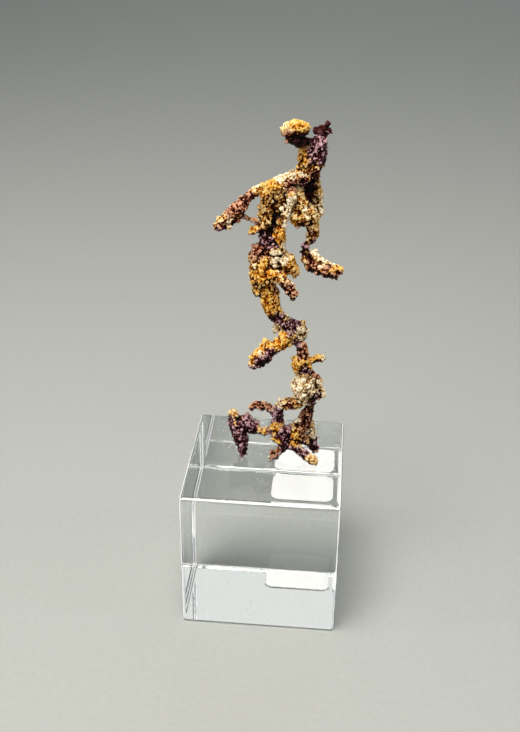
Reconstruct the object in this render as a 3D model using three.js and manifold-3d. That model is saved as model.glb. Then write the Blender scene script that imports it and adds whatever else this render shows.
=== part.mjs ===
// A native copper specimen: a thin branching (dendritic) growth that stands on its feet on a
// clear acrylic display block, with a blank paper label under the block.
// Millimetres, +Z up. Origin: the middle of the block's underside.
import * as THREE from "three";
import { RoundedBoxGeometry } from "three/addons/geometries/RoundedBoxGeometry.js";
import { mergeVertices } from "three/addons/utils/BufferGeometryUtils.js";
import Module from "manifold-3d";

const wasm = await Module();
wasm.setup();

// ---- driving dimensions -------------------------------------------------------------------
const blockSide = 30;
const blockEdgeRadius = 0.9;
const labelWidth = 12.8;
const labelDepth = 8.1;
const labelThickness = 0.15;
const labelCornerRadius = 1.6;
const labelCentre = [7.0, 10.1];
const labelClearance = 0.3; // all round the label, inside its recess
const recessDepth = 0.2;
const cutterSide = 80; // of the box that cuts the feet flat, wider than the specimen
const cutterDepth = 20;
const crustDepth = 0.25; // room that the limbs leave for the grains of the crust
const leastRadius = 0.25; // of a limb without its crust
const branchGap = 0.3; // between two branches that meet at a fork
const ringSides = 8;
const ringStep = 1.38; // from one ring to the next, as a share of the limb's mean radius
const curveSamples = 200; // along a limb, to read its length by
const domeReach = 0.65; // of a limb's round end, as a share of its radius
const domeShare = 0.7; // of the radius that is left there
const lumpiness = 0.13; // share of the radius
const lumpSize = 1.9; // millimetres from one lump to the next, about

// ---- the branches -------------------------------------------------------------------------
// Each branch is a few named limbs, and each limb is a list of [x, y, z, radius] along its middle.
// The radius reaches to the outside of the crust.
// A branch further down this list is cut back where it meets one further up.
const branches = {
  foot_cluster: {
    knot: [
      [1.6, 0.8, 36.8, 1.1], [2.8, 0.6, 36, 1.5], [4.4, 0.6, 35, 1.7],
      [6.2, 1, 35, 1.4], [6.8, 1.3, 34.6, 1.1],
    ],
    knotLeft: [[1.8, 0.2, 35.4, 1.1], [2.6, 0, 34.2, 1.2], [3.6, 0, 33.4, 1.2]],
    leftFoot: [[4, 0.3, 33.6, 1.3], [3.1, 0, 32.5, 1], [2.2, -0.4, 31.4, 0.8], [1.3, -0.6, 30.6, 0.9]],
    rightFoot: [[4.8, 0.2, 33.4, 1.4], [6.3, -0.2, 32.5, 1.1], [7.8, -0.8, 31.5, 1], [9.4, -1.2, 30.6, 1]],
    backFoot: [[6.6, 1.4, 34.4, 1.2], [7.8, 2.1, 32.9, 1], [8.8, 2.7, 31.6, 0.9], [9.6, 3, 30.5, 0.8]],
    backStrand: [[8.2, 2.2, 37.4, 0.7], [8.7, 2.5, 34.8, 0.9], [9.1, 2.8, 32, 0.8]],
  },
  cone_branch: {
    cone: [
      [-6.6, 1.6, 38.8, 1], [-6.5, 1.5, 36.9, 1.5], [-5.7, 1.2, 35.5, 1.7],
      [-5, 0.8, 33.6, 1.6], [-4.7, 0.5, 31.8, 1.2], [-4.8, 0.2, 30.3, 0.7],
    ],
    coneShoulder: [[-5.2, 1.4, 36.8, 1.5], [-3.4, 1.5, 37.3, 1.6], [-2.8, 1.4, 36.1, 1.4]],
    link: [[-3, 1.2, 35.6, 1.1], [-1.6, 1.1, 35.5, 0.9], [-0.6, 0.9, 35.2, 0.9], [0.6, 0.8, 36, 1]],
  },
  arch_branch: {
    arch: [
      [-3.2, 3, 39.4, 0.7], [-2.2, 3.1, 40, 0.8], [-0.6, 3, 40.1, 0.9],
      [0.8, 2.6, 39.3, 0.9], [1.6, 2, 38.1, 0.8], [2, 1.2, 36.8, 0.9],
    ],
  },
  lower_trunk: {
    shin: [
      [6.1, 1.2, 54.6, 1.2], [6.3, 1, 53.2, 1.2], [6.6, 0.8, 51.6, 1.2],
      [7.2, 0.7, 50, 1.2], [7, 0.6, 48.8, 1.4],
    ],
    shinLump: [[6, 0.4, 52, 1.1], [5.3, 0, 50.8, 1.3], [5.4, 0, 50.2, 1]],
    spur: [[7.2, 1, 51.1, 0.8], [8.5, 1.6, 51.4, 0.9], [10, 2.2, 51.6, 0.8]],
    paleKnot: [[6.8, 0.6, 48.6, 1.4], [6.1, 0.2, 47, 1.8], [5.9, 0.2, 45.4, 1.9], [6.6, 0.3, 44.2, 1.6]],
    knotMiddle: [[7.6, 0.6, 47.2, 1.7], [7.6, 0.6, 45.4, 1.7]],
    knotRidge: [[8.2, 1, 48.3, 1.2], [9.2, 1.2, 47.2, 1], [10.1, 1.3, 45.8, 0.7], [10.6, 1.3, 44.4, 0.5]],
    knotHeel: [[8.6, 1.3, 45.2, 1.4], [9.4, 1.4, 44, 1.1]],
    rightStem: [
      [8.2, 1.3, 44.6, 1.4], [8.1, 1.5, 43, 1.2], [8, 1.7, 41.3, 1], [7.9, 1.7, 39.5, 1],
      [7.4, 1.5, 37.6, 1.1], [6.4, 1.1, 36, 1.2],
    ],
    stemWeb: [[7.2, 1.4, 39.8, 0.9], [6.2, 1.1, 38, 0.9], [5.2, 0.9, 37.1, 0.7]],
    leftStem: [
      [6, 0.4, 42.8, 1.4], [4.6, 0.3, 42.2, 1.3], [3.2, 0.4, 42.4, 1.1],
      [2.2, 0.5, 41.2, 1.1], [2.4, 0.6, 39.6, 0.9], [2.7, 0.7, 37.4, 1],
    ],
  },
  middle_trunk: {
    leftStrand: [
      [-0.5, 0.2, 83.9, 1.4], [-0.8, 0.5, 82, 1.2], [-0.7, 0.8, 80, 1.2],
      [-0.7, 1, 78, 1.3], [-0.9, 1, 76, 1.3], [0, 0.8, 74.2, 1.6],
    ],
    frontSpar: [
      [3.8, -0.6, 84.4, 1.1], [3.6, -0.9, 83, 0.8], [3.1, -1, 81, 0.6], [2.7, -0.9, 79.2, 0.6],
      [2.2, -0.6, 77.3, 0.8], [1.8, -0.2, 75.4, 1.1], [1.2, 0, 73.8, 1.6],
    ],
    sparBack: [[2.6, 0, 81.6, 0.8], [2.1, 0.2, 79.6, 1], [1.7, 0.2, 77.4, 1], [1.2, 0.2, 75.6, 1.1]],
    middleStrand: [[1.8, 0.4, 84, 1.5], [1.4, 1.2, 81.6, 1.4], [0.7, 1.6, 79.2, 1.3], [0.6, 1.3, 77, 1.2]],
    knob: [[-1.2, 0.4, 77.6, 1], [-2.6, -0.2, 77.3, 0.9], [-3.3, -0.6, 76.7, 0.6]],
    waist: [[-1.8, 0.6, 73.6, 1.4], [-2.5, 0.4, 72.3, 1.5], [-2.1, 0.4, 70.6, 1.5]],
    pelvis: [[-1, 0.6, 71.6, 2], [-1.3, 0.3, 69.2, 2.4], [-1.5, 0.5, 67, 2.1], [-1.8, 0.8, 65.7, 1.5]],
    pelvisRight: [[1, 0.4, 71.9, 1.9], [3, 0.4, 71.5, 1.8], [4.2, 0.3, 70.6, 1.5], [4.5, 0.2, 69.6, 1.2]],
    pelvisMiddle: [[0.4, 0, 69.2, 1.9], [1.6, 0.1, 69.4, 1.7], [2.2, -0.2, 69, 1.3]],
    pelvisFoot: [[-2.4, 0.9, 65.2, 0.9], [-1, 0.9, 64.8, 1]],
    stub: [[1.8, -0.6, 69, 1.1], [3.1, -1.6, 68.2, 1.1], [4, -2.3, 67.2, 1.2], [4.6, -2.6, 66.5, 1.1]],
    thigh: [
      [-0.7, 0.6, 67.2, 1.6], [0.2, 0.7, 64.8, 1.8], [0.4, 0.8, 62.7, 1.9],
      [1.1, 0.9, 60.9, 1.6], [2.6, 1, 59.3, 1.5],
    ],
    knee: [[2.6, 1, 59.4, 1.5], [4.2, 1.1, 58.3, 1.5], [5.4, 1.3, 57.1, 1.4], [5.7, 1.3, 55.6, 1.1]],
    kneeLeft: [[2.6, 1.2, 58.6, 1.2], [1.5, 1.3, 58.4, 1], [1.3, 1.3, 57.6, 0.9]],
    kneeHeel: [[5.4, 1.1, 56.4, 1.1], [4.8, 0.9, 55.5, 0.9]],
    kneeRim: [[5.7, 1.6, 58, 1.2], [6.4, 1.8, 57, 1], [6.4, 1.7, 55.8, 0.8]],
  },
  side_pod: {
    pod: [
      [3.6, 0, 57.2, 1.2], [2.8, -0.6, 56.1, 1.2], [1.6, -1, 55.2, 1.2],
      [0, -1.7, 54.4, 1.7], [-1.2, -2.3, 53.3, 1.8], [-2.4, -2.8, 52.3, 1.1],
    ],
    podRoot: [[3.2, 0, 55.8, 1.1], [2.8, -0.3, 54.8, 0.8]],
    podBump: [[-0.3, -1.6, 55.8, 0.8], [-0.5, -1.4, 56.8, 0.5]],
  },
  left_arm: {
    leaf: [
      [-1.2, 0.2, 84.4, 1.2], [-2.5, 0, 84.2, 0.8], [-3.3, -0.2, 83.5, 0.8],
      [-4.2, -0.6, 82.7, 0.9], [-5, -1.2, 81.8, 1.3], [-6, -1.8, 80.8, 1.5],
      [-7, -2.3, 79.7, 1.5], [-8, -2.7, 79, 1.2], [-8.9, -3, 78.4, 0.7],
    ],
    bar: [[-5.4, -1.4, 80, 0.7], [-4.4, -1, 79.8, 0.5], [-3.1, -0.5, 79.3, 0.6], [-1.6, 0.2, 78.4, 0.6]],
  },
  upper_trunk: {
    neck: [[7.9, 1.5, 92.2, 1.7], [7.2, 1.3, 90.8, 2.2], [6.8, 1.3, 89.2, 2.2], [6.8, 1.2, 87.6, 1.8]],
    neckLeft: [[5.4, 0.8, 91.2, 0.8], [5.1, 0.8, 89.8, 0.8], [4.9, 0.8, 88.6, 0.7]],
    neckRight: [[8.6, 1.8, 92, 0.8], [8.7, 1.8, 90.4, 0.8], [8.3, 1.8, 88.8, 0.8]],
    shoulder: [
      [6, 1, 87, 1.5], [4.4, 0.6, 86.7, 1.5], [2.6, 0.2, 86, 1.5],
      [0.9, 0.1, 85.2, 1.5], [-0.6, 0.2, 84.2, 1.3],
    ],
    rail: [
      [7.2, 1.8, 87, 1.2], [7.3, 2.2, 85.4, 0.8], [8.2, 2.5, 83.6, 0.9],
      [8.5, 2.8, 81.9, 0.7], [8.6, 2.7, 80.6, 0.6], [8.1, 2.4, 79, 0.7],
    ],
    backWeb: [[6.2, 2.6, 86.2, 1.4], [6.8, 3.2, 83.8, 1.7], [7.3, 3.2, 81.4, 1.3], [7.4, 2.8, 79.6, 0.9]],
  },
  right_arm: {
    breast: [[4.6, 0.8, 84.6, 1], [5.2, 0.7, 83, 1.2], [5.4, 0.7, 81.4, 1.5], [5.6, 0.7, 79.7, 1.9]],
    breastLeft: [[4.6, 0.4, 81.6, 1], [4.4, 0.3, 80.2, 1.2], [4.2, 0.3, 79.2, 1]],
    breastRight: [[6.4, 1, 81.2, 1.2], [7.2, 1.3, 79.8, 1.4], [7.4, 1.4, 79, 1.1]],
    forearm: [
      [7.2, 1.4, 78, 1.2], [7.5, 1.4, 76.6, 1.2], [7.2, 1.2, 75.4, 1], [6.4, 0.9, 74.9, 0.8],
      [6.5, 0.7, 73.9, 0.6], [6.4, 0.6, 72.9, 0.9], [6.8, 0.4, 71.6, 0.9], [7.1, 0.2, 70.6, 1],
    ],
    armKnob: [[6.2, 0.6, 73.2, 0.6], [5.6, 0.6, 73.2, 0.4]],
    heelWedge: [
      [7.3, 0.4, 73.4, 0.6], [8.4, 0.2, 72.4, 0.9],
      [9.4, -0.2, 71.8, 0.9], [10.2, -0.6, 71.2, 0.8],
    ],
    boot: [
      [7.6, 0, 70.9, 1], [9, -0.6, 70.8, 1.2], [10.4, -1.2, 70.5, 1.4],
      [11.8, -1.8, 70.9, 1.2], [12.7, -2.2, 71.3, 0.8],
    ],
  },
  head_lobe: {
    lobe: [[2.7, -1.2, 95, 1.3], [4, -1, 95.7, 1.5], [5.2, -0.6, 95.3, 1.5]],
    belly: [[3.4, -0.8, 94.3, 1.2], [4.2, -0.6, 93.5, 1.4], [4.7, -0.4, 93.1, 1.2]],
    link: [[4.7, -0.4, 93.1, 1.2], [6, 0.4, 92.8, 0.9], [7.4, 1, 92.4, 0.9]],
    nib: [[3, -1.2, 93.9, 0.6], [2.6, -1.4, 93.1, 0.5]],
  },
  crown_prong: {
    prong: [[8.2, 1.8, 91.9, 1], [8.3, 2.1, 93, 0.9], [8.4, 2.3, 94.3, 0.9]],
    cup: [[7.5, 2.2, 94.2, 0.8], [8.2, 2.1, 94.4, 1.1], [8.9, 2.3, 94.2, 0.8]],
    topSpike: [[8.8, 2.6, 94.8, 0.5], [9.2, 2.9, 95.4, 0.3]],
    rightSpike: [[9, 2.4, 94.3, 0.5], [9.4, 2.4, 94.2, 0.3]],
    leftSpike: [[7.3, 2.4, 94.5, 0.5], [7.1, 2.4, 94.6, 0.3]],
  },
};

// Finish of each branch: colour, roughness, metalness.
const ochreCrust = [0xb9802f, 0.75, 0.1];
const creamCrust = [0xcdb487, 0.8, 0.05];
const darkCuprite = [0x4b2230, 0.5, 0.25];
const rustCrust = [0x8a4a24, 0.7, 0.15];
const branchFinish = {
  foot_cluster: darkCuprite,
  cone_branch: darkCuprite,
  arch_branch: rustCrust,
  lower_trunk: creamCrust,
  middle_trunk: ochreCrust,
  side_pod: ochreCrust,
  left_arm: rustCrust,
  upper_trunk: ochreCrust,
  right_arm: rustCrust,
  head_lobe: ochreCrust,
  crown_prong: darkCuprite,
};

// ---- solids and geometry ------------------------------------------------------------------
function toSolid(geometry) {
  const bare = geometry.clone();
  bare.deleteAttribute("normal");
  bare.deleteAttribute("uv");
  const merged = mergeVertices(bare, 1e-4);
  const vertProperties = new Float32Array(merged.attributes.position.array);
  const triVerts = new Uint32Array(merged.index.array);
  return new wasm.Manifold(new wasm.Mesh({ numProp: 3, vertProperties, triVerts }));
}

function toGeometry(solid) {
  const mesh = solid.getMesh();
  const geometry = new THREE.BufferGeometry();
  geometry.setAttribute("position", new THREE.BufferAttribute(mesh.vertProperties, 3));
  geometry.setIndex(new THREE.BufferAttribute(mesh.triVerts, 1));
  return geometry;
}

function boxSolid(size, centre) {
  const geometry = new THREE.BoxGeometry(...size);
  geometry.translate(...centre);
  return toSolid(geometry);
}

// A plate with round corners in XY, from z = low to z = high.
function roundedPlate(width, depth, radius, low, high) {
  const [x, y] = [width / 2, depth / 2];
  const outline = new THREE.Shape();
  outline.moveTo(-x + radius, -y);
  outline.lineTo(x - radius, -y);
  outline.absarc(x - radius, -y + radius, radius, -Math.PI / 2, 0);
  outline.absarc(x - radius, y - radius, radius, 0, Math.PI / 2);
  outline.absarc(-x + radius, y - radius, radius, Math.PI / 2, Math.PI);
  outline.absarc(-x + radius, -y + radius, radius, Math.PI, Math.PI * 1.5);
  const geometry = new THREE.ExtrudeGeometry(outline, {
    depth: high - low,
    bevelEnabled: false,
    curveSegments: 6,
  });
  geometry.translate(labelCentre[0], labelCentre[1], low);
  return geometry;
}

// Smooth rise and fall between -1 and 1 over the specimen, which makes the crust lumpy.
function lump(point) {
  const k = (2 * Math.PI) / lumpSize;
  const a = Math.sin(k * point.x + 1.3 * Math.sin(0.7 * k * point.z));
  const b = Math.sin(k * point.y + 1.7 + 1.1 * Math.sin(0.6 * k * point.x));
  const c = Math.sin(0.8 * k * point.z + 0.4 + 1.2 * Math.sin(0.5 * k * point.y));
  return (a + b + c) / 3;
}

// A closed lumpy limb along its stations, its radius grown by extra.
function limbGeometry(stations, extra) {
  const centres = stations.map(([x, y, z]) => new THREE.Vector3(x, y, z));
  const curve = new THREE.CatmullRomCurve3(centres, false, "centripetal");
  const meanRadius = stations.reduce((sum, station) => sum + station[3], 0) / stations.length;
  const steps = Math.max(2, Math.round(curve.getLength() / (ringStep * meanRadius)));
  const frames = curve.computeFrenetFrames(steps, false);
  const positions = [];
  const indices = [];

  function addRing(centre, step, radius) {
    for (let side = 0; side < ringSides; side += 1) {
      const angle = (2 * Math.PI * side) / ringSides;
      const point = centre.clone();
      const out = new THREE.Vector3();
      out.addScaledVector(frames.normals[step], Math.cos(angle));
      out.addScaledVector(frames.binormals[step], Math.sin(angle));
      point.addScaledVector(out, radius);
      point.addScaledVector(out, radius * lumpiness * lump(point));
      positions.push(point.x, point.y, point.z);
    }
  }

  // The radius at u along the curve's length, read at the nearest pair of stations.
  const lengths = curve.getLengths(curveSamples);
  const total = lengths[lengths.length - 1];
  const stationU = stations.map((station, i) => {
    const at = Math.round((i / (stations.length - 1)) * curveSamples);
    return lengths[at] / total;
  });
  function radiusAt(u) {
    let i = 0;
    while (i < stations.length - 2 && u > stationU[i + 1]) {
      i += 1;
    }
    const share = (u - stationU[i]) / (stationU[i + 1] - stationU[i]);
    const outer = THREE.MathUtils.lerp(stations[i][3], stations[i + 1][3], share);
    return Math.max(outer - crustDepth, leastRadius) + extra;
  }

  // Ends are domes: a smaller ring stands out past the first and the last ring.
  const start = curve.getPointAt(0);
  const end = curve.getPointAt(1);
  const startRadius = radiusAt(0);
  const endRadius = radiusAt(1);
  const startDome = start.clone().addScaledVector(frames.tangents[0], -domeReach * startRadius);
  const endDome = end.clone().addScaledVector(frames.tangents[steps], domeReach * endRadius);
  addRing(startDome, 0, domeShare * startRadius);
  for (let step = 0; step <= steps; step += 1) {
    const u = step / steps;
    addRing(curve.getPointAt(u), step, radiusAt(u));
  }
  addRing(endDome, steps, domeShare * endRadius);
  const rings = steps + 3;

  for (let ring = 0; ring < rings - 1; ring += 1) {
    for (let side = 0; side < ringSides; side += 1) {
      const a = ring * ringSides + side;
      const b = ring * ringSides + ((side + 1) % ringSides);
      indices.push(a, b, b + ringSides, a, b + ringSides, a + ringSides);
    }
  }
  const startPole = positions.length / 3;
  const startTip = start.clone().addScaledVector(frames.tangents[0], -startRadius);
  const endTip = end.clone().addScaledVector(frames.tangents[steps], endRadius);
  positions.push(startTip.x, startTip.y, startTip.z, endTip.x, endTip.y, endTip.z);
  const lastRing = (rings - 1) * ringSides;
  for (let side = 0; side < ringSides; side += 1) {
    const next = (side + 1) % ringSides;
    indices.push(startPole, next, side);
    indices.push(startPole + 1, lastRing + side, lastRing + next);
  }

  const geometry = new THREE.BufferGeometry();
  geometry.setAttribute("position", new THREE.Float32BufferAttribute(positions, 3));
  geometry.setIndex(indices);
  return geometry;
}

function branchSolid(limbs, extra) {
  return Object.values(limbs)
    .map((stations) => toSolid(limbGeometry(stations, extra)))
    .reduce((whole, limb) => whole.add(limb));
}

// ---- assembly -----------------------------------------------------------------------------
const specimen = new THREE.Group();

function addPiece(name, geometry, [color, roughness, metalness], options = {}) {
  const material = new THREE.MeshStandardMaterial({ color, roughness, metalness, ...options });
  const mesh = new THREE.Mesh(geometry, material);
  mesh.name = name;
  specimen.add(mesh);
}

// Copper: each branch is cut back from the ones already made, and its feet end flat on the block.
const belowBlockTop = boxSolid([cutterSide, cutterSide, cutterDepth], [0, 0, blockSide - cutterDepth / 2]);
const made = [];
for (const [name, limbs] of Object.entries(branches)) {
  let solid = branchSolid(limbs, 0);
  for (const neighbour of made) {
    solid = solid.subtract(branchSolid(branches[neighbour], branchGap));
  }
  solid = solid.subtract(belowBlockTop);
  addPiece(name, toGeometry(solid), branchFinish[name]);
  made.push(name);
}

// Acrylic block, with a shallow recess under it that takes the label.
const blockShape = new RoundedBoxGeometry(blockSide, blockSide, blockSide, 2, blockEdgeRadius);
blockShape.translate(0, 0, blockSide / 2);
const recess = roundedPlate(
  labelWidth + 2 * labelClearance,
  labelDepth + 2 * labelClearance,
  labelCornerRadius + labelClearance,
  -recessDepth,
  recessDepth,
);
const block = toSolid(blockShape).subtract(toSolid(recess));
addPiece("acrylic_block", toGeometry(block), [0xe9efee, 0.05, 0], { transparent: true, opacity: 0.3 });

// Blank paper label, stuck to the ceiling of the recess.
const label = roundedPlate(
  labelWidth,
  labelDepth,
  labelCornerRadius,
  recessDepth - labelThickness,
  recessDepth,
);
addPiece("label", toGeometry(toSolid(label)), [0xf4f3ee, 0.8, 0]);

export default specimen;
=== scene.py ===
import math
import bpy
import numpy as np
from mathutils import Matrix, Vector


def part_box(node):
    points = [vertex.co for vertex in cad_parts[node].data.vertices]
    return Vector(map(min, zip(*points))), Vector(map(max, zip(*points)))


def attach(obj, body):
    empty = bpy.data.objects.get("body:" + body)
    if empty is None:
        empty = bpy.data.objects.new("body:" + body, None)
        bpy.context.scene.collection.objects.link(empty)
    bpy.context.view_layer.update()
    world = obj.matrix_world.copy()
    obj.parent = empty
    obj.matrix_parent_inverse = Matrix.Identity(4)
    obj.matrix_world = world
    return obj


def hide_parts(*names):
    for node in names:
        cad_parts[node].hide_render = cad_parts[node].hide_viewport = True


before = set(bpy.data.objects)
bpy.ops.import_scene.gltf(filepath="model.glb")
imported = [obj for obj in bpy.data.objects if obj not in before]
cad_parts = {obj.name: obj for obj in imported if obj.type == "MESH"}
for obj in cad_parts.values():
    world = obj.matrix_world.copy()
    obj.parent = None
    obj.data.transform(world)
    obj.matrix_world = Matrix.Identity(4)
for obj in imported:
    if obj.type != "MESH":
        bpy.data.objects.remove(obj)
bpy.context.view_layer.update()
mm = 0.001


def linear(hexColour):
    # sRGB hex to the linear colour that shaders and lights take
    parts = [int(hexColour[i:i + 2], 16) / 255 for i in (1, 3, 5)]
    return [c / 12.92 if c <= 0.04045 else ((c + 0.055) / 1.055) ** 2.4 for c in parts] + [1.0]


def addNode(tree, kind, settings=None, links=None):
    # settings: a number or "in:Name" is a socket's value, "stops" a ramp's colours, else a property
    # links: input name or number -> output socket
    # a Map Range's sockets 1 and 2 are the range it reads, and 3 and 4 the range it gives
    node = tree.nodes.new(kind)
    for name, value in (settings or {}).items():
        if name == "stops":
            ramp = node.color_ramp
            while len(ramp.elements) < len(value):
                ramp.elements.new(0.5)
            for element, (place, colour) in zip(ramp.elements, value):
                element.position = place
                element.color = linear(colour)
        elif isinstance(name, int):
            node.inputs[name].default_value = value
        elif name.startswith("in:"):
            node.inputs[name[3:]].default_value = value
        else:
            setattr(node, name, value)
    for key, output in (links or {}).items():
        tree.links.new(output, node.inputs[key])
    return node


def newMaterial(name):
    material = bpy.data.materials.new(name)
    material.use_nodes = True
    material.node_tree.nodes.clear()
    return material, material.node_tree


def onlySelect(*objects):
    if bpy.context.object and bpy.context.object.mode != "OBJECT":
        bpy.ops.object.mode_set(mode="OBJECT")
    bpy.ops.object.select_all(action="DESELECT")
    for item in objects:
        item.select_set(True)
    bpy.context.view_layer.objects.active = objects[0]


def applyModifier(item, kind, **settings):
    onlySelect(item)
    modifier = item.modifiers.new(kind.lower(), kind)
    for name, value in settings.items():
        setattr(modifier, name, value)
    bpy.ops.object.modifier_apply(modifier=modifier.name)


def shareOfBox(node, shares):
    # a place in mm, from shares of a CAD node's box: across, back and up
    low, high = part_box(node)
    return [(low[i] + shares[i] * (high[i] - low[i])) / mm for i in range(3)]


view = {
    "place": (12.4, -161.5, 140.4),  # mm
    "tilt": 60.94,  # degrees up from looking straight down
    "roll": -0.57,
    "turn": 5.2,  # to the left of straight back
    "lens": 49.08,
}


def makeCamera():
    cameraData = bpy.data.cameras.new("camera")
    cameraData.lens = view["lens"]
    cameraData.sensor_width = 36
    cameraData.clip_start = 0.005
    camera = bpy.data.objects.new("camera", cameraData)
    camera.location = Vector(view["place"]) * mm
    camera.rotation_euler = [math.radians(view[angle]) for angle in ("tilt", "roll", "turn")]
    bpy.context.scene.collection.objects.link(camera)
    bpy.context.scene.camera = camera


studio = {
    "floorSide": 4.0,  # m
    "floorDrop": 0.06,  # mm under the block, so that the two never share a surface
    "floorTones": ("#B0B4B2", "#BCC0BE"),
    "floorGrain": 900.0,  # in a metre
    "world": ("#EEF1F2", 0.2),
    "transform": "Standard",
    "lights": [  # name, place in m, aims at (m), width and height in m, watts, colour
        ("overheadSoftbox", (-0.06, -0.12, 0.45), (0.0, 0.0, 0.06), (0.24, 0.24), 2.2, "#FFF8EE"),
        ("backCard", (0.05, 1.0, 0.62), (0.0, 0.0, 0.04), (0.9, 0.7), 1.25, "#FCFDF9"),
        ("frontFill", (-0.35, -0.5, 0.3), (0.0, 0.0, 0.06), (0.3, 0.3), 0.6, "#FFFAF2"),
        ("leftStrip", (-0.5, -0.1, 0.2), (0.0, 0.0, 0.04), (0.06, 0.5), 0.35, "#FFFFFF"),
        ("rightStrip", (0.5, -0.05, 0.2), (0.0, 0.0, 0.04), (0.06, 0.5), 0.35, "#FFFFFF"),
    ],
}


def paleBoard():
    # A matt painted board, fine-grained, that gives only a soft even tone.
    material, tree = newMaterial("matt pale board")
    coords = addNode(tree, "ShaderNodeTexCoord")
    grain = addNode(tree, "ShaderNodeTexNoise", {"in:Scale": studio["floorGrain"], "in:Detail": 3.0},
                    {"Vector": coords.outputs["Object"]})
    darker, lighter = studio["floorTones"]
    tone = addNode(tree, "ShaderNodeMix", {"data_type": "RGBA", 6: linear(darker), 7: linear(lighter)},
                   {0: grain.outputs["Fac"]})
    shader = addNode(tree, "ShaderNodeBsdfPrincipled", {"in:Roughness": 0.7},
                     {"Base Color": tone.outputs[2]})
    addNode(tree, "ShaderNodeOutputMaterial", None, {"Surface": shader.outputs[0]})
    return material


def makeStudio():
    bpy.ops.object.select_all(action="DESELECT")
    bpy.ops.mesh.primitive_plane_add(size=studio["floorSide"], location=(0, 0, -studio["floorDrop"] * mm))
    floor = bpy.context.object
    floor.name = "studio_floor"
    bpy.ops.object.transform_apply(location=True)
    floor.data.materials.append(paleBoard())
    world = bpy.data.worlds.new("studio")
    world.use_nodes = True
    background = world.node_tree.nodes["Background"]
    background.inputs["Color"].default_value = linear(studio["world"][0])
    background.inputs["Strength"].default_value = studio["world"][1]
    bpy.context.scene.world = world
    bpy.context.scene.view_settings.view_transform = studio["transform"]
    for name, place, aim, sides, watts, colour in studio["lights"]:
        bpy.ops.object.light_add(type="AREA", location=place)
        light = bpy.context.object
        light.name = name
        light.data.shape = "RECTANGLE"
        light.data.size, light.data.size_y = sides
        light.data.energy = watts
        light.data.color = linear(colour)[:3]
        light.rotation_euler = (Vector(aim) - Vector(place)).to_track_quat("-Z", "Y").to_euler()


makeCamera()
makeStudio()
print("camera, floor and lights made")


blockShape = {
    "edge": 0.9,  # mm, the polished round along each edge
    "edgeSteps": 5,
    "smoothAngle": 30,  # degrees; a sharper edge stays sharp
    "highlightLine": 0.3,  # how near to 45 degrees a facet of the round leans to carry the painted white highlight line
    "edgeHighlightGlow": 0.5,  # painted glow on the edges' highlight lines
    "labelPaintedGlow": 0.5,  # painted glow that makes the paper brighter than the light reaching it
    "abrasionGrain": 0.2,  # mm, the unevenness of the frosting on the edge highlight lines
    "hairlineRoughness": 0.25,
    "dustGrain": 0.35,  # mm, specks of dust and fine dents on the faces
    "dustShare": 0.07,  # of the places that can hold a speck
    "fibreGrain": 0.33,  # mm, in the label's paper
    "labelPress": 0.02,  # mm that the label's glue wets into the block, so that no air lies between
    "labelRoom": 0.3,  # mm all round the label
    "labelCorner": 1.9,
    "labelCornerSteps": 8,
}


def clearAcrylic():
    # Cast acrylic, cut and polished: water-clear, with hairline scratches and specks from handling.
    material, tree = newMaterial("polished clear cast acrylic")
    coords = addNode(tree, "ShaderNodeTexCoord")
    marks = []
    for turn, stretch in (((0.3, 0.2, 0.6), (70, 2600, 800)), ((0.9, -0.4, -0.5), (2400, 90, 900))):
        along = addNode(tree, "ShaderNodeMapping", {"in:Rotation": turn, "in:Scale": stretch},
                        {"Vector": coords.outputs["Object"]})
        marks.append(addNode(tree, "ShaderNodeTexNoise", {"in:Scale": 1.0, "in:Detail": 2.0},
                             {"Vector": along.outputs[0]}).outputs["Fac"])
    scratched = addNode(tree, "ShaderNodeMath", {"operation": "MAXIMUM"}, {0: marks[0], 1: marks[1]})
    hairlines = addNode(tree, "ShaderNodeMapRange", {1: 0.7, 2: 0.8, 4: blockShape["hairlineRoughness"]},
                        {0: scratched.outputs[0]})
    specks = addNode(tree, "ShaderNodeTexVoronoi", {"in:Scale": 1 / (blockShape["dustGrain"] * mm)},
                     {"Vector": coords.outputs["Object"]})
    chance = addNode(tree, "ShaderNodeSeparateColor", None, {0: specks.outputs["Color"]})
    rare = addNode(tree, "ShaderNodeMapRange", {1: 1 - blockShape["dustShare"], 2: 1.0, 4: 0.3},
                   {0: chance.outputs[0]})
    dusty = addNode(tree, "ShaderNodeMath", {"operation": "LESS_THAN"},
                    {0: specks.outputs["Distance"], 1: rare.outputs[0]})
    handled = addNode(tree, "ShaderNodeMath", {"operation": "MULTIPLY_ADD", 1: 0.5},
                      {0: dusty.outputs[0], 2: hairlines.outputs[0]})
    shader = addNode(tree, "ShaderNodeBsdfPrincipled", {
        "in:Base Color": linear("#FBFEFD"), "in:IOR": 1.49, "in:Transmission Weight": 1.0,
    }, {"Roughness": handled.outputs[0]})
    addNode(tree, "ShaderNodeOutputMaterial", None, {"Surface": shader.outputs[0]})
    return material


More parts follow.
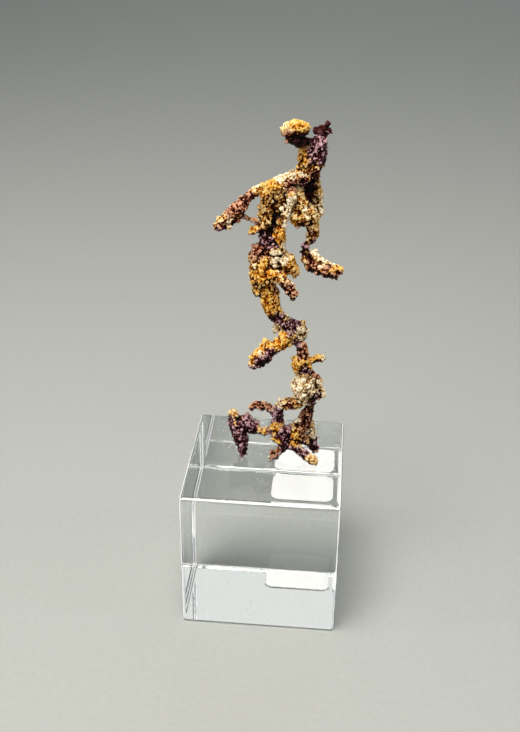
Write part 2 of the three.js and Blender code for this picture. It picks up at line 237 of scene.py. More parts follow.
def paintedEdgeHighlight():
    # The same acrylic on the middle of each rounded edge, frosted, whiter and glowing: a painted highlight,
    # a fine white line that stands in for the light the rounded edge catches.
    material, tree = newMaterial("cast acrylic edge with painted highlight")
    coords = addNode(tree, "ShaderNodeTexCoord")
    abrasion = addNode(tree, "ShaderNodeTexNoise", {
        "in:Scale": 1 / (blockShape["abrasionGrain"] * mm), "in:Detail": 3.0,
    }, {"Vector": coords.outputs["Object"]})
    frost = addNode(tree, "ShaderNodeMapRange", {1: 0.3, 2: 0.7, 3: 0.25, 4: 0.5},
                    {0: abrasion.outputs["Fac"]})
    # a whiter, less clear body and a glow make the painted highlight line
    shader = addNode(tree, "ShaderNodeBsdfPrincipled", {
        "in:Base Color": linear("#F6F9F8"), "in:IOR": 1.49, "in:Transmission Weight": 0.6,
        "in:Emission Color": linear("#FFFFFF"), "in:Emission Strength": blockShape["edgeHighlightGlow"],
    }, {"Roughness": frost.outputs[0]})
    addNode(tree, "ShaderNodeOutputMaterial", None, {"Surface": shader.outputs[0]})
    return material


def labelPaper():
    # Uncoated sticker paper: bright dull white with a faint mottle of fibres.
    material, tree = newMaterial("blank white sticker paper")
    coords = addNode(tree, "ShaderNodeTexCoord")
    fibres = addNode(tree, "ShaderNodeTexNoise", {
        "in:Scale": 1 / (blockShape["fibreGrain"] * mm), "in:Detail": 4.0,
    }, {"Vector": coords.outputs["Object"]})
    tone = addNode(tree, "ShaderNodeMix", {"data_type": "RGBA", 6: linear("#ECEBE6"), 7: linear("#FAFAF7")},
                   {0: fibres.outputs["Fac"]})
    bump = addNode(tree, "ShaderNodeBump", {"in:Strength": 0.2, "in:Distance": 0.01 * mm},
                   {"Height": fibres.outputs["Fac"]})
    # the paper's glow is painted light that brightens the label
    shader = addNode(tree, "ShaderNodeBsdfPrincipled", {
        "in:Roughness": 0.85, "in:Emission Color": linear("#FFFFFF"),
        "in:Emission Strength": blockShape["labelPaintedGlow"],
    }, {"Base Color": tone.outputs[2], "Normal": bump.outputs[0]})
    addNode(tree, "ShaderNodeOutputMaterial", None, {"Surface": shader.outputs[0]})
    return material


def makeBlock():
    low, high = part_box("acrylic_block")
    labelLow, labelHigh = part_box("label")
    side = high.z - low.z
    bpy.ops.mesh.primitive_cube_add(size=side, location=(low + high) / 2)
    block = bpy.context.object
    block.name = "displayBlock"
    bpy.ops.object.transform_apply()
    applyModifier(block, "BEVEL", width=blockShape["edge"] * mm, segments=blockShape["edgeSteps"],
                  affect="EDGES", limit_method="NONE")

    room = blockShape["labelRoom"] * mm
    ceiling = labelHigh.z - blockShape["labelPress"] * mm
    middle = (labelLow + labelHigh) / 2
    bpy.ops.mesh.primitive_cube_add(size=1, location=(middle.x, middle.y, 0), scale=(
        labelHigh.x - labelLow.x + 2 * room, labelHigh.y - labelLow.y + 2 * room, 2 * ceiling))
    recess = bpy.context.object
    bpy.ops.object.transform_apply()
    bpy.ops.object.mode_set(mode="EDIT")
    bpy.ops.mesh.select_mode(type="EDGE")
    bpy.ops.mesh.select_all(action="DESELECT")
    bpy.ops.object.mode_set(mode="OBJECT")
    for edge in recess.data.edges:
        a, b = (recess.data.vertices[i].co for i in edge.vertices)
        edge.select = abs(a.x - b.x) + abs(a.y - b.y) < 1e-7  # only the upright edges
    bpy.ops.object.mode_set(mode="EDIT")
    bpy.ops.mesh.bevel(offset=blockShape["labelCorner"] * mm, segments=blockShape["labelCornerSteps"],
                       affect="EDGES")
    bpy.ops.object.mode_set(mode="OBJECT")
    applyModifier(block, "BOOLEAN", operation="DIFFERENCE", object=recess, solver="EXACT")
    bpy.data.objects.remove(recess)
    onlySelect(block)
    bpy.ops.object.shade_smooth_by_angle(angle=math.radians(blockShape["smoothAngle"]))
    applyModifier(block, "WEIGHTED_NORMAL", keep_sharp=True, weight=100)
    block.data.materials.clear()
    block.data.materials.append(clearAcrylic())
    block.data.materials.append(paintedEdgeHighlight())
    # the middle facets of each rounded edge take the painted highlight material
    for face in block.data.polygons:
        _, second, first = sorted(abs(part) for part in face.normal)
        onEdge = max(abs(face.center.x), abs(face.center.y)) > side / 2 - blockShape["edge"] * mm
        face.material_index = 1 if onEdge and first - second < blockShape["highlightLine"] else 0
    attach(block, "root")
    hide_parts("acrylic_block")
    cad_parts["label"].material_slots[0].material = labelPaper()


makeBlock()
print("acrylic block and label made")


# Each mineral's colours from its pits to its peaks; the darkest and palest stops also stand partly for
# painted shade and painted highlight.
minerals = {
    "ochre": [(0.16, "#140602"), (0.34, "#5C2808"), (0.53, "#B4681A"), (0.74, "#E2A648"), (0.97, "#FAE2A8")],
    "gold": [(0.14, "#200A02"), (0.33, "#7E3406"), (0.53, "#CA740C"), (0.78, "#EEAA2C"), (1.0, "#F8D480")],
    "rust": [(0.3, "#0A0202"), (0.52, "#380F06"), (0.71, "#6A2610"), (0.88, "#965032"), (1.0, "#D8A684")],
    "cream": [(0.08, "#1E0D05"), (0.28, "#743E1A"), (0.47, "#CC9858"), (0.69, "#EED29A"), (0.95, "#FFF5DC")],
    "cuprite": [(0.32, "#030101"), (0.54, "#28070A"), (0.73, "#521418"), (0.9, "#803E46"), (1.0, "#CCA8B0")],
    # near-black: partly black copper oxide, partly painted shade on bellies, recesses and undersides
    "tenorite": [(0.36, "#020001"), (0.64, "#0E0202"), (0.83, "#240607"), (1.0, "#4C1A1C")],
}

crustLook = {
    "patchGrain": 1.1,  # mm from one ragged edge of a patch to the next
    "clumpGrain": 0.9,
    "stainGrain": 0.42,
    "crystalGrain": 0.42,
    "seamWidth": 0.2,  # of a grain, the dark line between grains
    "seamWander": 0.5,  # mm that the noise pulls the grains out of true
    "pitGrain": 0.55,
    "pitShare": 0.6,  # of the grains that have a pit beside them
    "dullRoughness": 0.85,
    "crystalRoughness": 0.42,
    "gloss": 0.08,  # weak, because the grains trap most of the light
    "raggedEdge": (0.32, 0.5),  # where a patch of a mineral begins, and where it is whole
    "bumpDepth": 0.08,  # mm
}


def mineralCrust():
    # Limonite, chalky cream, red-brown earth, cuprite and black copper oxide grown over native copper in
    # the ground: dull and grainy, with the dark crystals alone sharp enough to sparkle. The near-black is
    # partly painted shade.
    material, tree = newMaterial("limonite and cuprite crust on native copper")
    coords = addNode(tree, "ShaderNodeTexCoord")
    inMm = addNode(tree, "ShaderNodeVectorMath", {"operation": "SCALE", "in:Scale": 1 / mm},
                   {0: coords.outputs["Object"]})
    place = {"Vector": inMm.outputs[0]}
    patches = addNode(tree, "ShaderNodeTexNoise", {
        "in:Scale": 1 / crustLook["patchGrain"], "in:Detail": 3.0}, place)
    clumps = addNode(tree, "ShaderNodeTexNoise", {
        "in:Scale": 1 / crustLook["clumpGrain"], "in:Detail": 2.0, "in:Distortion": 0.6}, place)
    stain = addNode(tree, "ShaderNodeTexNoise", {
        "in:Scale": 1 / crustLook["stainGrain"], "in:Detail": 4.0, "in:Roughness": 0.65}, place)
    pull = addNode(tree, "ShaderNodeVectorMath", {"operation": "SCALE", "in:Scale": crustLook["seamWander"]},
                   {0: stain.outputs["Color"]})
    pulled = addNode(tree, "ShaderNodeVectorMath", {"operation": "ADD"},
                     {0: inMm.outputs[0], 1: pull.outputs[0]})
    grainPlace = {"Vector": pulled.outputs[0]}
    grains = addNode(tree, "ShaderNodeTexVoronoi", {"in:Scale": 1 / crustLook["crystalGrain"]}, grainPlace)
    grainTone = addNode(tree, "ShaderNodeSeparateColor", None, {0: grains.outputs["Color"]})
    grainEdge = addNode(tree, "ShaderNodeTexVoronoi", {
        "feature": "DISTANCE_TO_EDGE", "in:Scale": 1 / crustLook["crystalGrain"]}, grainPlace)
    seams = addNode(tree, "ShaderNodeMapRange", {1: crustLook["seamWidth"], 2: 0.0},
                    {0: grainEdge.outputs["Distance"]})
    pits = addNode(tree, "ShaderNodeTexVoronoi", {"in:Scale": 1 / crustLook["pitGrain"]}, place)
    pitChance = addNode(tree, "ShaderNodeSeparateColor", None, {0: pits.outputs["Color"]})
    pitDepth = addNode(tree, "ShaderNodeMapRange", {"interpolation_type": "SMOOTHSTEP", 1: 0.34, 2: 0.16},
                       {0: pits.outputs["Distance"]})
    pitHere = addNode(tree, "ShaderNodeMath", {"operation": "LESS_THAN", 1: crustLook["pitShare"]},
                      {0: pitChance.outputs[0]})
    pitted = addNode(tree, "ShaderNodeMath", {"operation": "MULTIPLY"},
                     {0: pitDepth.outputs[0], 1: pitHere.outputs[0]})
    fromMesh = {name: addNode(tree, "ShaderNodeAttribute", {"attribute_name": name}).outputs["Fac"]
                for name in ("relief", "bulge", "upward", *list(minerals)[1:])}

    def weighted(start, *terms):
        # start plus each output times its gain
        total = None
        for output, gain in terms:
            step = addNode(tree, "ShaderNodeMath", {"operation": "MULTIPLY_ADD", 1: gain, 2: start},
                           {0: output})
            if total is not None:
                tree.links.new(total, step.inputs[2])
            total = step.outputs[0]
        return total

    # how high a place stands, from its pits to its peaks, sets how pale its mineral is: partly the crust's
    # own tone, partly painted shade in the pits, lump hollows and undersides, and painted highlight on the
    # peaks and tops
    # the bulge term darkens the hollows between lumps and the upward term darkens undersides: painted shade
    height = weighted(-1.6, (fromMesh["relief"], 5.0), (fromMesh["bulge"], 2.2), (fromMesh["upward"], 0.35),
                      (stain.outputs["Fac"], 2.0), (clumps.outputs["Fac"], 1.6),
                      (grainTone.outputs[1], 0.55), (seams.outputs[0], -0.35), (pitted.outputs[0], -0.55))
    colour = None
    shares = {}
    begins, whole = crustLook["raggedEdge"]
    for name, stops in minerals.items():
        tone = addNode(tree, "ShaderNodeValToRGB", {"stops": stops}, {0: height})
        if colour is None:
            colour = tone.outputs[0]
            continue
        ragged = weighted(-0.66, (fromMesh[name], 1.0), (patches.outputs["Fac"], 0.9),
                          (grainTone.outputs[0], 0.25))
        share = addNode(tree, "ShaderNodeMapRange", {
            "interpolation_type": "SMOOTHSTEP", 1: begins, 2: whole}, {0: ragged})
        mix = addNode(tree, "ShaderNodeMix", {"data_type": "RGBA"},
                      {0: share.outputs[0], 6: colour, 7: tone.outputs[0]})
        colour = mix.outputs[2]
        shares[name] = share.outputs[0]
    dark = addNode(tree, "ShaderNodeMath", {"operation": "MAXIMUM"},
                   {0: shares["cuprite"], 1: shares["tenorite"]})
    rough = addNode(tree, "ShaderNodeMapRange", {
        3: crustLook["dullRoughness"], 4: crustLook["crystalRoughness"]}, {0: dark.outputs[0]})
    fineRelief = weighted(0.0, (stain.outputs["Fac"], 1.0), (grains.outputs["Distance"], -0.8),
                          (grainTone.outputs[2], 0.5))
    bump = addNode(tree, "ShaderNodeBump", {"in:Strength": 1.0, "in:Distance": crustLook["bumpDepth"] * mm},
                   {"Height": fineRelief})
    shader = addNode(tree, "ShaderNodeBsdfPrincipled", {
        "in:IOR": 1.5, "in:Specular IOR Level": crustLook["gloss"],
    }, {"Base Color": colour, "Roughness": rough.outputs[0], "Normal": bump.outputs[0]})
    addNode(tree, "ShaderNodeOutputMaterial", None, {"Surface": shader.outputs[0]})
    return material


# The native copper: each branch starts as a copy of its CAD node, and the crust grows on it.
# patches: share of the node's box across, back and up, reach in mm, mineral on top, mineral below;
# where the mineral below is darker, it is partly the crust's own colour and partly painted shade on
# undersides.
# pockets: share of the node's box, radius in mm. A bare branch has crystals but no nodules.
branches = {
    "foot_cluster": {
        "name": "footCluster",
        "slot": "dark_cuprite",
        "patches": [
            ((0.13, 0.4, 0.9), 0.9, "gold", "gold"), ((0.3, 0.25, 0.74), 1.3, "cuprite", "cuprite"),
            ((0.55, 0.3, 0.72), 0.9, "gold", "rust"), ((0.15, 0.2, 0.54), 0.7, "gold", "rust"),
            ((0.5, 0.2, 0.52), 0.9, "gold", "rust"), ((0.33, 0.2, 0.42), 0.9, "cuprite", "cuprite"),
            ((0.4, 0.2, 0.3), 1.3, "cuprite", "cuprite"), ((0.55, 0.2, 0.34), 1.1, "cuprite", "cuprite"),
            ((0.68, 0.3, 0.44), 0.9, "ochre", "cuprite"), ((0.12, 0.2, 0.14), 1.1, "rust", "cuprite"),
            ((0.03, 0.2, 0.08), 0.4, "cream", "rust"), ((0.66, 0.2, 0.24), 1.1, "cuprite", "cuprite"),
            ((0.88, 0.1, 0.16), 1.0, "ochre", "cuprite"), ((0.86, 0.75, 0.28), 1.3, "cuprite", "tenorite"),
            ((0.86, 0.78, 0.66), 1.0, "cream", "cream"), ((0.7, 0.5, 0.62), 0.8, "rust", "cuprite"),
        ],
    },
    "cone_branch": {
        "name": "coneBranch",
        "slot": "dark_cuprite",
        "patches": [
            ((0.22, 0.5, 0.5), 2.8, "cuprite", "cuprite"), ((0.34, 0.3, 0.2), 1.6, "cuprite", "cuprite"),
            ((0.14, 0.4, 1.0), 0.8, "ochre", "gold"), ((0.2, 0.1, 0.82), 0.5, "gold", "gold"),
            ((0.33, 0.05, 0.2), 0.5, "gold", "gold"), ((0.5, 0.4, 0.74), 1.2, "cuprite", "cuprite"),
            ((0.7, 0.3, 0.65), 0.7, "ochre", "cuprite"), ((0.8, 0.3, 0.58), 0.6, "gold", "tenorite"),
            ((0.93, 0.3, 0.6), 0.8, "rust", "cuprite"),
        ],
    },
    "arch_branch": {
        "name": "archBranch",
        "slot": "rust_crust",
        "patches": [
            ((0.3, 0.5, 0.9), 1.8, "rust", "cuprite"), ((0.1, 0.5, 0.6), 0.7, "cream", "cuprite"),
            ((0.45, 0.8, 1.0), 0.5, "cream", "rust"), ((0.8, 0.4, 0.3), 1.4, "cuprite", "cuprite"),
        ],
    },
    "lower_trunk": {
        "name": "lowerTrunk",
        "slot": "cream_crust",
        "patches": [
            ((0.48, 0.44, 0.93), 1.1, "rust", "cuprite"), ((0.6, 0.3, 0.9), 0.5, "cream", "rust"),
            ((0.4, 0.3, 0.95), 0.6, "cuprite", "cuprite"), ((0.54, 0.34, 0.86), 0.8, "rust", "rust"),
            ((0.42, 0.15, 0.78), 1.5, "gold", "gold"), ((0.52, 0.24, 0.73), 0.8, "cuprite", "cuprite"),
            ((0.8, 0.68, 0.82), 1.5, "gold", "rust"), ((0.91, 0.78, 0.8), 0.7, "cream", "rust"),
            ((0.59, 0.39, 0.7), 1.0, "cuprite", "cuprite"), ((0.8, 0.54, 0.64), 1.0, "rust", "rust"),
            ((0.72, 0.3, 0.61), 0.9, "cream", "cream"), ((0.84, 0.4, 0.57), 0.9, "cream", "cream"),
            ((0.93, 0.5, 0.51), 0.9, "cream", "ochre"), ((0.98, 0.55, 0.45), 0.9, "cream", "ochre"),
            ((0.48, 0.05, 0.56), 2.0, "cream", "cream"), ((0.52, 0.15, 0.46), 1.5, "cream", "cream"),
            ((0.8, 0.54, 0.46), 1.3, "cuprite", "cuprite"), ((0.7, 0.6, 0.34), 1.2, "cuprite", "tenorite"),
            ((0.7, 0.6, 0.22), 1.4, "rust", "tenorite"), ((0.6, 0.6, 0.1), 1.1, "rust", "cuprite"),
            ((0.48, 0.5, 0.15), 0.6, "cream", "rust"), ((0.46, 0.3, 0.38), 0.7, "gold", "ochre"),
            ((0.34, 0.3, 0.36), 0.9, "rust", "cuprite"), ((0.22, 0.3, 0.37), 0.6, "ochre", "cuprite"),
            ((0.12, 0.25, 0.36), 0.7, "cream", "cuprite"),
            ((0.09, 0.4, 0.23), 1.2, "cuprite", "cuprite"),
        ],
    },
    "middle_trunk": {
        "name": "middleTrunk",
        "slot": "ochre_crust",
        "patches": [
            ((0.24, 0.56, 0.93), 1.3, "gold", "ochre"), ((0.3, 0.56, 0.83), 1.3, "ochre", "ochre"),
            ((0.4, 0.45, 0.9), 1.0, "cream", "rust"), ((0.33, 0.4, 0.8), 0.7, "cream", "ochre"),
            ((0.48, 0.5, 0.94), 1.1, "cream", "ochre"), ((0.7, 0.4, 0.91), 1.1, "cream", "cream"),
            ((0.66, 0.3, 0.86), 1.0, "cream", "cream"), ((0.64, 0.35, 0.8), 0.8, "cream", "cream"),
            ((0.61, 0.45, 0.74), 0.55, "cream", "cream"), ((0.59, 0.45, 0.67), 0.55, "cream", "cream"),
            ((0.44, 0.67, 0.81), 1.0, "tenorite", "tenorite"),
            ((0.42, 0.63, 0.75), 0.8, "tenorite", "tenorite"),
            ((0.54, 0.5, 0.71), 1.1, "gold", "gold"), ((0.28, 0.6, 0.68), 1.3, "cuprite", "cuprite"),
            ((0.42, 0.56, 0.66), 1.0, "cuprite", "cuprite"), ((0.1, 0.5, 0.74), 1.0, "gold", "rust"),
            ((0.15, 0.5, 0.6), 1.3, "rust", "rust"), ((0.47, 0.42, 0.56), 1.4, "cream", "cream"),
            ((0.1, 0.46, 0.53), 1.0, "cream", "cream"), ((0.26, 0.28, 0.48), 2.0, "gold", "gold"),
            ((0.66, 0.45, 0.54), 1.0, "cream", "gold"), ((0.78, 0.5, 0.52), 1.4, "gold", "ochre"),
            ((0.22, 0.35, 0.39), 1.8, "gold", "ochre"), ((0.35, 0.3, 0.42), 1.0, "cream", "ochre"),
            ((0.17, 0.65, 0.33), 0.9, "cuprite", "tenorite"), ((0.68, 0.08, 0.39), 1.3, "rust", "tenorite"),
            ((0.58, 0.2, 0.43), 0.9, "rust", "tenorite"), ((0.84, 0.2, 0.41), 0.5, "cream", "rust"),
            ((0.76, 0.25, 0.45), 0.5, "cream", "rust"), ((0.5, 0.2, 0.47), 0.7, "ochre", "rust"),
            ((0.47, 0.4, 0.38), 1.3, "rust", "tenorite"), ((0.39, 0.4, 0.28), 1.6, "gold", "gold"),
            ((0.45, 0.53, 0.2), 1.0, "cuprite", "cuprite"), ((0.74, 0.56, 0.12), 1.5, "cuprite", "cuprite"),
            ((0.46, 0.7, 0.11), 0.9, "cream", "cream"), ((0.94, 0.7, 0.07), 1.1, "cream", "cream"),
            ((0.64, 0.7, 0.17), 0.7, "cream", "rust"), ((0.9, 0.5, 0.1), 0.8, "cream", "cream"),
            ((0.81, 0.65, 0.02), 0.9, "cuprite", "cuprite"),
        ],
        "pockets": [((0.43, 0.5, 0.85), 0.6), ((0.4, 0.5, 0.78), 0.5), ((0.66, 0.35, 0.46), 0.5)],
    },
    "side_pod": {
        "name": "sidePod",
        "slot": "ochre_crust",
        "patches": [
            ((0.82, 0.7, 0.75), 1.4, "gold", "gold"), ((0.45, 0.5, 0.72), 1.0, "gold", "gold"),
            ((0.18, 0.3, 0.4), 1.1, "gold", "ochre"), ((0.04, 0.1, 0.2), 0.7, "gold", "gold"),
            ((0.28, 0.15, 0.45), 0.7, "cream", "rust"), ((0.37, 0.5, 0.9), 0.6, "cream", "rust"),
            ((0.54, 0.1, 0.4), 1.3, "cuprite", "tenorite"), ((0.36, 0.02, 0.32), 1.2, "cuprite", "tenorite"),
            ((0.22, 0.0, 0.24), 0.8, "cuprite", "tenorite"),
            ((0.5, 0.3, 0.2), 1.2, "tenorite", "tenorite"), ((0.28, 0.1, 0.1), 1.2, "tenorite", "tenorite"),
            ((0.7, 0.5, 0.4), 0.8, "rust", "cuprite"), ((0.1, 0.1, 0.02), 0.9, "cuprite", "cuprite"),
        ],
    },
    "left_arm": {
        "name": "leftArm",
        "slot": "rust_crust",
        "patches": [
            ((0.85, 0.77, 0.9), 0.9, "cream", "rust"), ((0.7, 0.65, 0.72), 0.8, "rust", "rust"),
            ((0.57, 0.5, 0.62), 1.2, "rust", "rust"), ((0.4, 0.25, 0.4), 1.6, "rust", "rust"),
            ((0.45, 0.6, 0.66), 0.6, "cream", "rust"), ((0.33, 0.5, 0.54), 0.6, "cream", "rust"),
            ((0.3, 0.1, 0.3), 0.5, "cream", "cream"), ((0.45, 0.2, 0.36), 0.5, "cream", "ochre"),
            ((0.2, 0.4, 0.38), 0.5, "cream", "rust"), ((0.12, 0.2, 0.22), 0.9, "ochre", "rust"),
            ((0.32, 0.05, 0.18), 0.7, "cream", "tenorite"), ((0.2, 0.2, 0.3), 0.6, "ochre", "rust"),
            ((0.14, 0.05, 0.06), 0.9, "rust", "cuprite"), ((0.5, 0.5, 0.24), 0.9, "rust", "cuprite"),
            ((0.75, 0.7, 0.15), 1.2, "rust", "cuprite"),
        ],
    },
    "upper_trunk": {
        "name": "upperTrunk",
        "slot": "ochre_crust",
        "patches": [
            ((0.58, 0.25, 0.8), 1.4, "gold", "ochre"), ((0.56, 0.25, 0.68), 1.1, "gold", "ochre"),
            ((0.93, 0.5, 0.9), 1.8, "cuprite", "cuprite"), ((0.88, 0.35, 0.78), 1.4, "cuprite", "cuprite"),
            ((0.72, 0.2, 0.85), 0.8, "cuprite", "cuprite"), ((0.8, 0.3, 0.62), 1.3, "ochre", "rust"),
            ((0.66, 0.2, 0.6), 0.9, "cream", "rust"), ((0.5, 0.3, 0.62), 1.3, "cream", "cream"),
            ((0.35, 0.3, 0.57), 1.1, "cream", "gold"), ((0.2, 0.25, 0.5), 1.1, "cream", "gold"),
            ((0.08, 0.2, 0.44), 1.2, "gold", "gold"), ((0.42, 0.0, 0.48), 0.8, "rust", "rust"),
            ((0.58, 0.05, 0.5), 0.9, "rust", "cuprite"), ((0.7, 0.5, 0.46), 1.3, "tenorite", "tenorite"),
            ((0.76, 0.4, 0.3), 1.0, "tenorite", "tenorite"), ((0.9, 0.5, 0.4), 0.9, "ochre", "rust"),
            ((0.93, 0.6, 0.22), 1.1, "cream", "cream"), ((0.93, 0.6, 0.08), 1.0, "cream", "gold"),
            ((0.93, 0.6, 1.0), 1.2, "cuprite", "cuprite"),
        ],
        "pockets": [((0.76, 0.3, 0.49), 1.1), ((0.81, 0.4, 0.38), 0.8), ((0.93, 0.4, 0.35), 0.45)],
    },
    "right_arm": {
        "name": "rightArm",
        "slot": "rust_crust",
        "patches": [
            ((0.09, 0.67, 0.95), 1.0, "ochre", "rust"), ((0.16, 0.5, 0.83), 0.9, "ochre", "rust"),
            ((0.24, 0.42, 0.77), 0.6, "cream", "ochre"), ((0.1, 0.4, 0.68), 1.3, "ochre", "gold"),
            ((0.2, 0.3, 0.6), 1.1, "ochre", "rust"), ((0.36, 0.67, 0.66), 1.1, "ochre", "ochre"),
            ((0.3, 0.4, 0.7), 0.5, "cream", "rust"), ((0.36, 0.6, 0.52), 1.1, "ochre", "rust"),
            ((0.49, 0.75, 0.46), 0.7, "cream", "ochre"), ((0.42, 0.7, 0.4), 0.9, "rust", "cuprite"),
            ((0.28, 0.67, 0.33), 1.1, "cuprite", "tenorite"),
            ((0.26, 0.6, 0.24), 1.0, "tenorite", "tenorite"),
            ((0.3, 0.5, 0.14), 1.1, "rust", "tenorite"), ((0.5, 0.55, 0.22), 0.8, "cream", "ochre"),
            ((0.45, 0.4, 0.08), 0.9, "rust", "tenorite"), ((0.66, 0.6, 0.24), 1.0, "cream", "ochre"),
            ((0.84, 0.5, 0.18), 0.8, "cream", "rust"), ((0.58, 0.3, 0.14), 0.5, "cream", "ochre"),
            ((0.72, 0.08, 0.03), 1.5, "rust", "tenorite"), ((0.8, 0.0, 0.08), 0.8, "gold", "rust"),
            ((0.97, 0.1, 0.12), 0.8, "gold", "rust"),
        ],
    },
    "head_lobe": {
        "name": "headLobe",
        "slot": "ochre_crust",
        "patches": [
            ((0.55, 0.3, 0.95), 1.5, "gold", "gold"), ((0.15, 0.2, 0.74), 1.1, "ochre", "rust"),
            ((0.25, 0.1, 0.7), 0.5, "cream", "rust"), ((0.4, 0.0, 0.64), 0.6, "cream", "rust"),
            ((0.08, 0.2, 0.85), 0.5, "cream", "ochre"), ((0.5, 0.1, 0.28), 1.5, "tenorite", "tenorite"),
            ((0.75, 0.4, 0.32), 1.6, "tenorite", "tenorite"),
            ((0.62, 0.0, 0.42), 0.9, "tenorite", "tenorite"),
            ((0.85, 0.4, 0.8), 0.8, "gold", "rust"), ((0.12, 0.2, 0.3), 0.7, "rust", "cuprite"),
        ],
        "bare": True,
    },
    "crown_prong": {
        "name": "crownProng",
        "slot": "dark_cuprite",
        "bare": True,
        "patches": [
            ((0.4, 0.3, 0.5), 1.6, "tenorite", "tenorite"), ((0.8, 0.6, 0.7), 1.2, "tenorite", "tenorite"),
            ((0.5, 0.3, 0.05), 0.6, "cuprite", "cuprite"),
        ],
    },
}

growth = {
    "baseVoxel": 0.18,  # mm
    "fineVoxel": 0.102,
    "rounding": 3,  # smoothing rounds over the CAD facets
    "swell": (1.9, 0.5, 0.2),  # size and height of the slow unevenness in mm, and its middle level
    "lumps": (1.0, 0.35, 0.5),
    "bareShare": 0.5,  # of the lumps' height, on a bare branch
    "grit": (0.36, 0.17, 0.45),
    "nodules": (0.5, 0.3, 0.5),  # per square mm at most, least and most radius in mm
    "crystals": (4.5, 0.12, 0.24),
    "crystalSide": 1.5,  # of a crystal's size
    "seeds": {"nodules": 11, "crystals": 23},
    "clusterSize": 1.3,  # mm from one cluster of them to the next
    "clusterEdge": (0.42, 0.6),  # of the noise, where a cluster begins and where it is dense
    "reliefRounds": 8,  # smoothing rounds that take away the grains
    "bulgeRounds": 50,  # and those that take away the lumps too
    "upwardRounds": 10,
    "undersideEdge": 0.4,  # how far a face tips before it is wholly a top or an underside
    "patchSpread": 1.2,  # of a patch's reach
    "plainShare": 0.12,  # of the first mineral, wherever no patch reaches
    "footGap": 0.02,  # mm between the feet and the block, so that the two share no face
}


def copyOfNode(node, name):
    # the CAD node's triangles, merged and scaled up to work in mm
    piece = bpy.data.objects.new(name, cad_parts[node].data.copy())
    bpy.context.scene.collection.objects.link(piece)
    piece.scale = (1 / mm, 1 / mm, 1 / mm)
    onlySelect(piece)
    bpy.ops.object.transform_apply()
    bpy.ops.object.mode_set(mode="EDIT")
    bpy.ops.mesh.select_all(action="SELECT")
    bpy.ops.mesh.remove_doubles(threshold=0.001)  # mm
    bpy.ops.object.mode_set(mode="OBJECT")
    piece.data.materials.clear()
    return piece


def swellSurface(piece, texture, height, middle):
    applyModifier(piece, "DISPLACE", texture=texture, strength=height, mid_level=middle,
                  texture_coords="LOCAL")


def newTexture(name, kind, size, **settings):
    texture = bpy.data.textures.new(name, kind)
    texture.noise_scale = size
    for key, value in settings.items():
        setattr(texture, key, value)
    return texture


def eatPockets(piece, node, pockets):
    hollows = []
    for shares, radius in pockets:
        place = shareOfBox(node, shares)
        bpy.ops.mesh.primitive_ico_sphere_add(subdivisions=3, radius=radius, location=place)
        hollows.append(bpy.context.object)
    hollow = hollows[0]
    onlySelect(*hollows)
    if len(hollows) > 1:
        bpy.ops.object.join()
    applyModifier(piece, "BOOLEAN", operation="DIFFERENCE", object=hollow, solver="EXACT")
    bpy.data.objects.remove(hollow)


def scatterTree(name, shape):
    # clusters of small crystals or nodules, turned at random and half sunk into the surface
    perArea, least, most = growth[name]
    seed = growth["seeds"][name]
    tree = bpy.data.node_groups.new(name, "GeometryNodeTree")
    tree.interface.new_socket("Geometry", in_out="INPUT", socket_type="NodeSocketGeometry")
    tree.interface.new_socket("Geometry", in_out="OUTPUT", socket_type="NodeSocketGeometry")
    start = addNode(tree, "NodeGroupInput")
    shifted = addNode(tree, "ShaderNodeVectorMath", {"operation": "ADD", 1: (seed, 0, 0)},
                      {0: addNode(tree, "GeometryNodeInputPosition").outputs[0]})
    clusters = addNode(tree, "ShaderNodeTexNoise", {"in:Scale": 1 / growth["clusterSize"]},
                       {"Vector": shifted.outputs[0]})
    begins, dense = growth["clusterEdge"]
    density = addNode(tree, "ShaderNodeMapRange", {1: begins, 2: dense, 4: perArea},
                      {0: clusters.outputs[0]})
    points = addNode(tree, "GeometryNodeDistributePointsOnFaces", {"in:Seed": seed},
                     {"Mesh": start.outputs[0], "Density": density.outputs[0]})
    if shape == "cube":
        crystal = addNode(tree, "GeometryNodeMeshCube", {"in:Size": [growth["crystalSide"]] * 3})
    else:
        crystal = addNode(tree, "GeometryNodeMeshIcoSphere", {"in:Radius": 1.0, "in:Subdivisions": 2})
    turn = addNode(tree, "FunctionNodeRandomValue", {
        "data_type": "FLOAT_VECTOR", 0: (0, 0, 0), 1: (6.3, 6.3, 6.3), "in:Seed": seed + 1})
    size = addNode(tree, "FunctionNodeRandomValue", {2: least, 3: most, "in:Seed": seed + 2})
    copies = addNode(tree, "GeometryNodeInstanceOnPoints", None, {
        "Points": points.outputs["Points"], "Instance": crystal.outputs["Mesh"],
        "Rotation": turn.outputs[0], "Scale": size.outputs[1]})
    real = addNode(tree, "GeometryNodeRealizeInstances", None, {"Geometry": copies.outputs[0]})
    whole = addNode(tree, "GeometryNodeJoinGeometry", None, {"Geometry": start.outputs[0]})
    tree.links.new(real.outputs[0], whole.inputs[0])
    addNode(tree, "NodeGroupOutput", None, {"Geometry": whole.outputs[0]})
    return tree


def meshArrays(mesh):
    places = np.empty(len(mesh.vertices) * 3)
    mesh.vertices.foreach_get("co", places)
    normals = np.empty(len(mesh.vertices) * 3)
    mesh.vertices.foreach_get("normal", normals)
    edges = np.empty(len(mesh.edges) * 2, dtype=np.int64)
    mesh.edges.foreach_get("vertices", edges)
    return places.reshape(-1, 3), normals.reshape(-1, 3), edges.reshape(-1, 2)


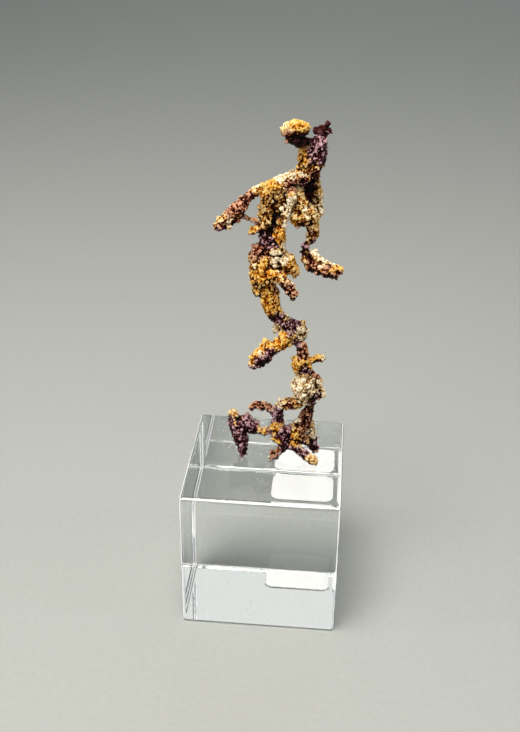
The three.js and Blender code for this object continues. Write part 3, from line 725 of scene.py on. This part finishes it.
def smoothed(values, edges, rounds):
    # each round moves every value to the mean of its neighbours
    count = len(values)
    neighbours = np.bincount(edges.ravel(), minlength=count).clip(1)
    columns = values.reshape(count, -1).copy()
    for _ in range(rounds):
        for i in range(columns.shape[1]):
            column = columns[:, i]
            total = np.bincount(edges[:, 0], weights=column[edges[:, 1]], minlength=count)
            total += np.bincount(edges[:, 1], weights=column[edges[:, 0]], minlength=count)
            columns[:, i] = total / neighbours
    return columns.reshape(values.shape)


def addAttribute(mesh, name, values):
    attribute = mesh.attributes.new(name, "FLOAT", "POINT")
    attribute.data.foreach_set("value", np.ascontiguousarray(values, dtype=np.float32))


allPatches = [
    (shareOfBox(node, shares), reach, top, below)
    for node, branch in branches.items()
    for shares, reach, top, below in branch["patches"]
]


def paintCrust(piece):
    # relief: how far a grain stands out; bulge: how far a lump does; upward: 0 on undersides to 1
    # on tops; and for each mineral after the first, its share of itself and those before it, because
    # the finish lays them one over another
    mesh = piece.data
    places, normals, edges = meshArrays(mesh)
    near = smoothed(places, edges, growth["reliefRounds"])
    wide = smoothed(near, edges, growth["bulgeRounds"])
    addAttribute(mesh, "relief", ((places - near) * normals).sum(axis=1))
    addAttribute(mesh, "bulge", ((near - wide) * normals).sum(axis=1))
    edge = growth["undersideEdge"]
    facingUp = smoothed(normals[:, 2], edges, growth["upwardRounds"]).clip(-edge, edge) / (2 * edge) + 0.5
    addAttribute(mesh, "upward", facingUp)
    shares = {name: np.zeros(len(places)) for name in minerals}
    for place, reach, top, below in allPatches:
        distance = np.linalg.norm(places - place, axis=1)
        weight = np.exp(-(distance / (reach * growth["patchSpread"])) ** 2)
        # the mineral below goes on the undersides, partly as painted shade
        shares[top] += weight * facingUp
        shares[below] += weight * (1 - facingUp)
    first, *later = minerals
    laid = shares[first] + growth["plainShare"]
    for name in later:
        laid = laid + shares[name]
        addAttribute(mesh, name, shares[name] / laid)


def cutFlat(piece, height):
    onlySelect(piece)
    bpy.ops.object.mode_set(mode="EDIT")
    bpy.ops.mesh.select_all(action="SELECT")
    bpy.ops.mesh.bisect(plane_co=(0, 0, height), plane_no=(0, 0, 1), use_fill=True, clear_inner=True)
    bpy.ops.mesh.select_all(action="SELECT")
    bpy.ops.mesh.quads_convert_to_tris()
    bpy.ops.object.mode_set(mode="OBJECT")


def dropCrumbs(piece):
    # grains that the last remesh cut loose go, and the largest part stays
    name = piece.name
    onlySelect(piece)
    bpy.ops.object.mode_set(mode="EDIT")
    bpy.ops.mesh.separate(type="LOOSE")
    bpy.ops.object.mode_set(mode="OBJECT")
    *crumbs, whole = sorted(bpy.context.selected_objects, key=lambda part: len(part.data.vertices))
    for crumb in crumbs:
        bpy.data.objects.remove(crumb)
    whole.name = name
    return whole


def growBranches():
    swell = newTexture("swell", "CLOUDS", growth["swell"][0], noise_depth=2)
    lumps = newTexture("lumps", "VORONOI", growth["lumps"][0])
    grit = newTexture("grit", "VORONOI", growth["grit"][0])
    nodules = scatterTree("nodules", "ball")
    crystals = scatterTree("crystals", "cube")
    finish = mineralCrust()
    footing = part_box("acrylic_block")[1].z / mm + growth["footGap"]
    for node, branch in branches.items():
        piece = copyOfNode(node, branch["name"] + "Crust")
        applyModifier(piece, "REMESH", mode="VOXEL", voxel_size=growth["baseVoxel"])
        applyModifier(piece, "SMOOTH", factor=0.5, iterations=growth["rounding"])
        swellSurface(piece, swell, *growth["swell"][1:])
        bare = "bare" in branch
        lumpHeight = growth["lumps"][1] * (growth["bareShare"] if bare else 1)
        swellSurface(piece, lumps, -lumpHeight, growth["lumps"][2])
        if "pockets" in branch:
            applyModifier(piece, "REMESH", mode="VOXEL", voxel_size=growth["baseVoxel"])
            eatPockets(piece, node, branch["pockets"])
        for tree in (crystals,) if bare else (nodules, crystals):
            onlySelect(piece)
            modifier = piece.modifiers.new(tree.name, "NODES")
            modifier.node_group = tree
            bpy.ops.object.modifier_apply(modifier=modifier.name)
        applyModifier(piece, "REMESH", mode="VOXEL", voxel_size=growth["fineVoxel"])
        swellSurface(piece, grit, -growth["grit"][1], growth["grit"][2])
        paintCrust(piece)
        cutFlat(piece, footing)
        piece = dropCrumbs(piece)
        piece.scale = (mm, mm, mm)
        onlySelect(piece)
        bpy.ops.object.transform_apply()
        bpy.ops.object.shade_smooth()
        piece.data.materials.clear()  # the scattered crystals bring an empty slot
        piece.data.materials.append(finish)
        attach(piece, "root")
        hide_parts(node)
        print(node, "grown,", len(piece.data.polygons), "faces")


growBranches()
